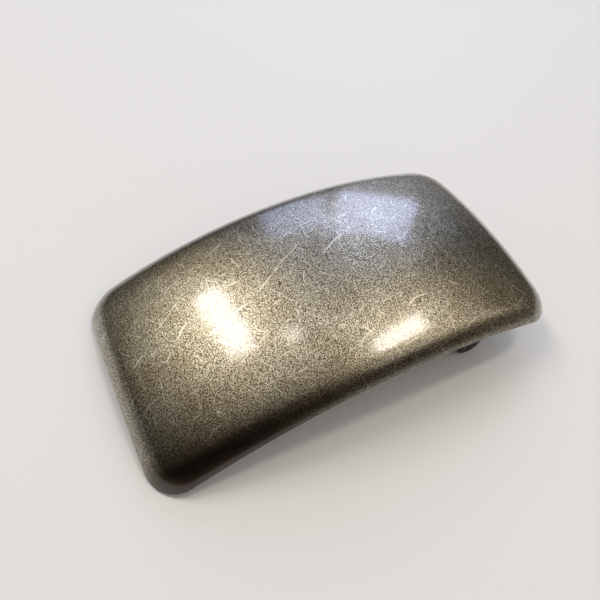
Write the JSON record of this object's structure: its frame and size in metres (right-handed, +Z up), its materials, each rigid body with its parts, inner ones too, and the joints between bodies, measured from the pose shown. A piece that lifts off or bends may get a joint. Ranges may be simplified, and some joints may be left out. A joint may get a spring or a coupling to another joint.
{
  "type": "barrette",
  "caption": "Domed rectangular metal barrette with rolled-down edges, antique brass finish and a hinged spring clasp with a pinch catch on the back",
  "frame": {"origin": "Centre of the bounding box in X and Y, at the height of the table the barrette lies on, crown up.", "axes": "X runs along the barrette's length from the clasp's hinge end to its catch end. Y runs across it, from the long edge nearest the clasp to the far one. Z is up, square to the table; the barrette lies tilted 5.81 degrees about Y, its catch end raised by the clasp."},
  "size_m": [0.0858, 0.047, 0.0186],
  "materials": {
    "antique_brass": "dark antique brass plating, fine tumbled grain with light scratches, semi-gloss",
    "clasp_steel": "stamped sheet steel, dark nickel plated",
    "spring_steel": "rolled spring steel, blackened nickel",
    "solder": "dull grey soft solder"
  },
  "bodies": {
    "barrette": {"dome_plate": "antique_brass", "solder_left": "solder", "solder_right": "solder", "clip_base": "clasp_steel", "hinge_pin": "clasp_steel", "catch_foot": "spring_steel", "catch_rivet": "clasp_steel", "leaf_rivet": "clasp_steel"},
    "clasp_arm": {"clasp_arm": "clasp_steel"},
    "prong_near": {"prong_near": "spring_steel"},
    "prong_far": {"prong_far": "spring_steel"},
    "tension_leaf": {"tension_leaf": "spring_steel"}
  },
  "joints": [
    {"name": "arm_hinge", "type": "hinge", "parent": "barrette", "child": "clasp_arm", "pos_m": [-0.03213, -0.0116, 0.00343], "axis": [0, 1, 0], "range_deg": [0, 75]},
    {"name": "prong_near_flex", "type": "hinge", "parent": "barrette", "child": "prong_near", "pos_m": [0.0278, -0.01415, 0.01284], "axis": [0.9821, 0, -0.1881], "range_deg": [0, 8], "stiffness_Nm_per_rad": 0.2},
    {"name": "prong_far_flex", "type": "hinge", "parent": "barrette", "child": "prong_far", "pos_m": [0.0278, -0.00905, 0.01284], "axis": [-0.9821, 0, 0.1881], "range_deg": [0, 8], "stiffness_Nm_per_rad": 0.2},
    {"name": "leaf_flex", "type": "hinge", "parent": "barrette", "child": "tension_leaf", "pos_m": [-0.02831, -0.0116, 0.00737], "axis": [0, -1, 0], "range_deg": [0, 2], "stiffness_Nm_per_rad": 0.5}
  ]
}
